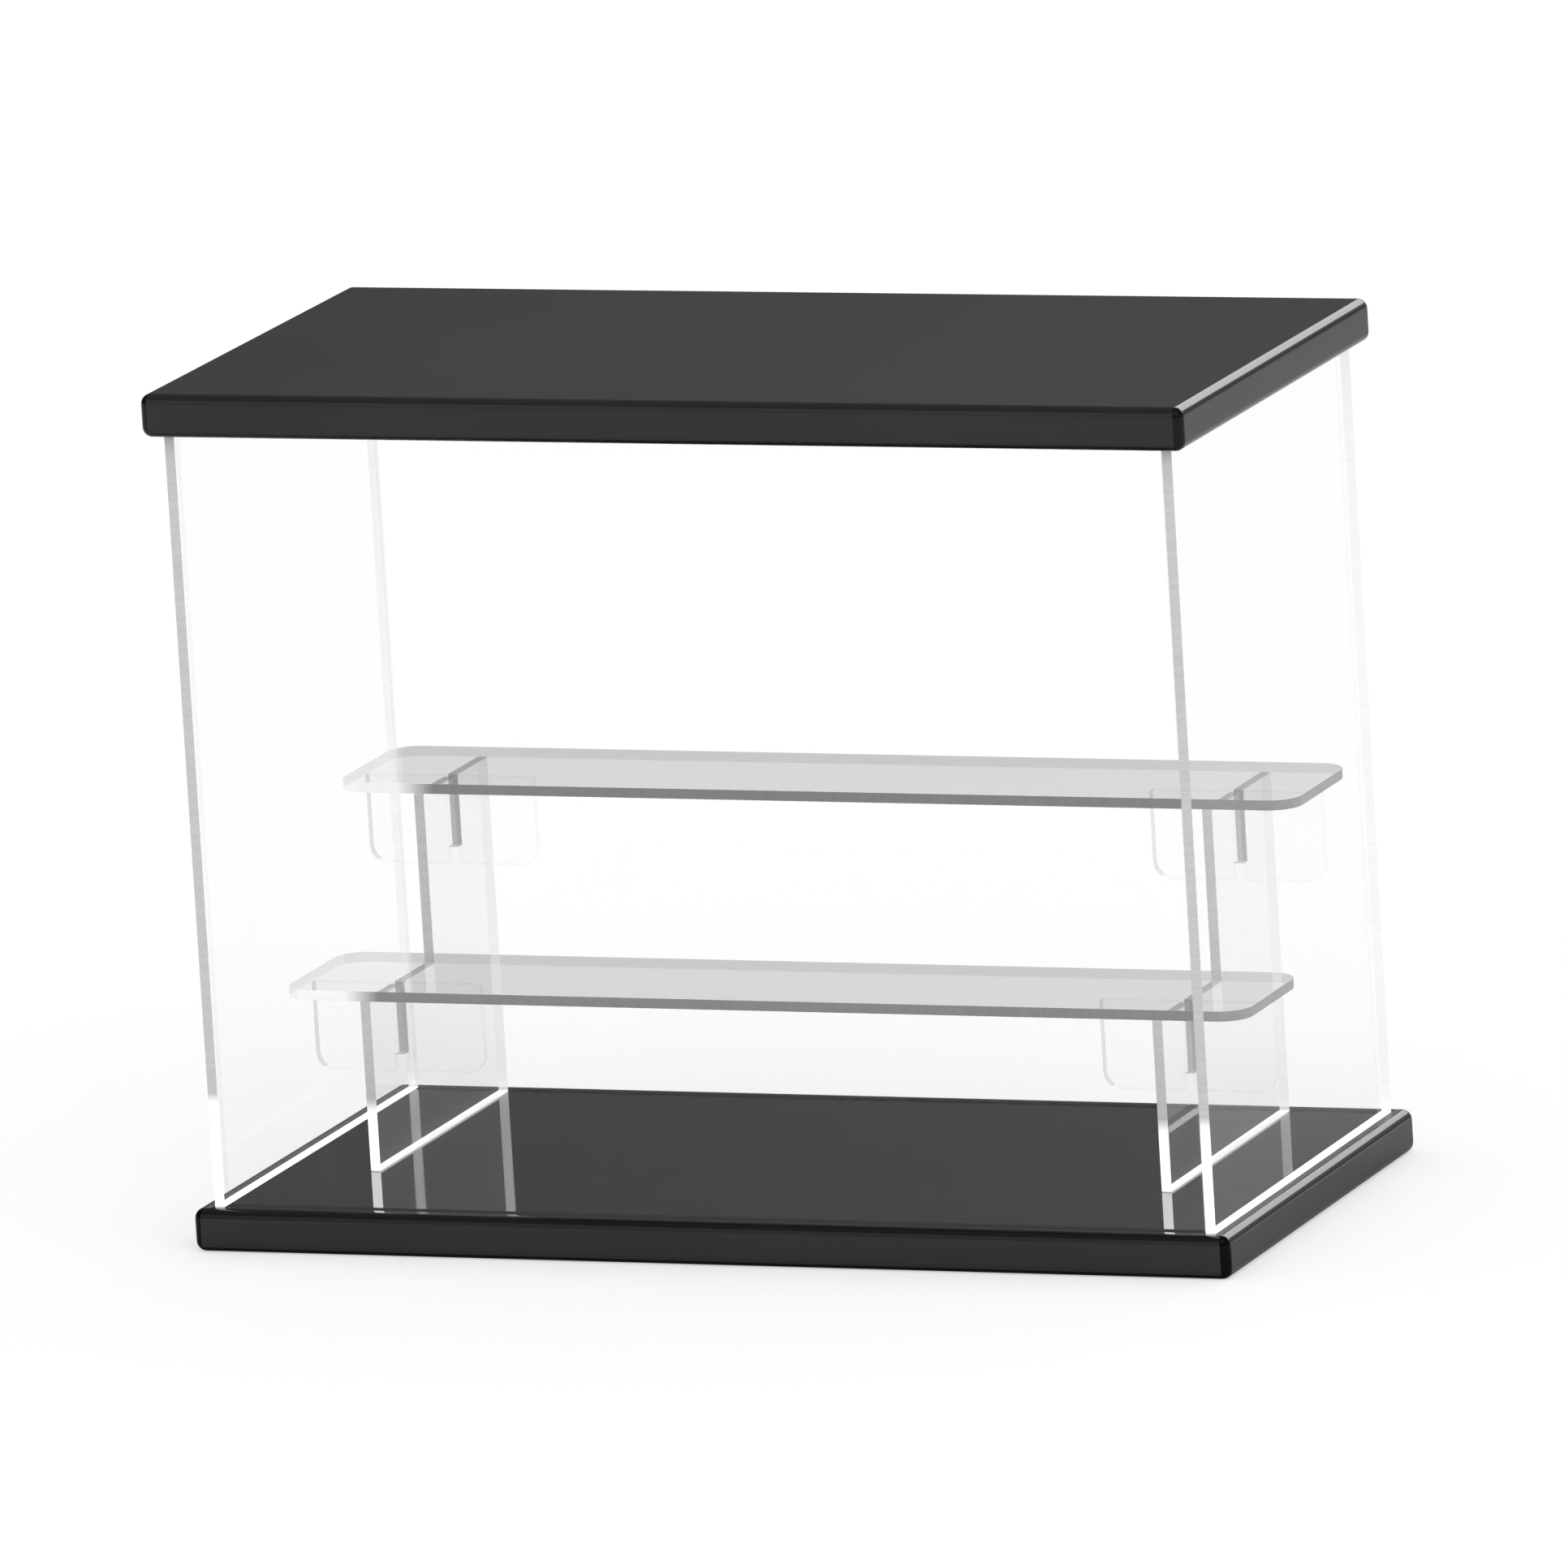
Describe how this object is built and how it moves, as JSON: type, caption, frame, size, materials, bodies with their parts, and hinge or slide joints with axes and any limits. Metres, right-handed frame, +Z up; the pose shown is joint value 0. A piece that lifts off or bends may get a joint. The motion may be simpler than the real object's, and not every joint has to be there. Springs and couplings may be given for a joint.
{
  "type": "figurine display case",
  "caption": "Clear-walled display case between a black base and a lift-off black lid, with a clear two-step riser and shelves inside.",
  "frame": {"origin": "middle of the base plate's underside", "axes": "+X to the right seen from the front, +Y to the back, +Z up"},
  "size_m": [0.302, 0.155, 0.24],
  "materials": {
    "base_black": "high gloss, mirror-like on top",
    "lid_black": "high gloss",
    "wall_clear": "clear cast acrylic, polished faces and edges",
    "riser_clear": "clear cast acrylic, cut edges light grey",
    "shelf_clear": "clear cast acrylic, cut edges light grey"
  },
  "bodies": {
    "case": {"base_plate": "base_black", "left_panel": "wall_clear", "right_panel": "wall_clear", "front_panel": "wall_clear", "back_panel": "wall_clear"},
    "lid": {"top_plate": "lid_black"},
    "riser": {"riser_side_left": "riser_clear", "riser_side_right": "riser_clear", "lower_bracket_left": "riser_clear", "lower_bracket_right": "riser_clear", "upper_bracket_left": "riser_clear", "upper_bracket_right": "riser_clear"},
    "shelf_lower": {"lower_shelf": "shelf_clear"},
    "shelf_upper": {"upper_shelf": "shelf_clear"}
  },
  "joints": [
    {"name": "lid_lift", "type": "slide", "parent": "case", "child": "lid", "axis": [0, 0, 1], "range_m": [0, 0.25]},
    {"name": "riser_lift", "type": "slide", "parent": "case", "child": "riser", "axis": [0, 0, 1], "range_m": [0, 0.04]},
    {"name": "lower_shelf_lift", "type": "slide", "parent": "riser", "child": "shelf_lower", "axis": [0, 0, 1], "range_m": [0, 0.06]},
    {"name": "upper_shelf_lift", "type": "slide", "parent": "riser", "child": "shelf_upper", "axis": [0, 0, 1], "range_m": [0, 0.06]}
  ]
}
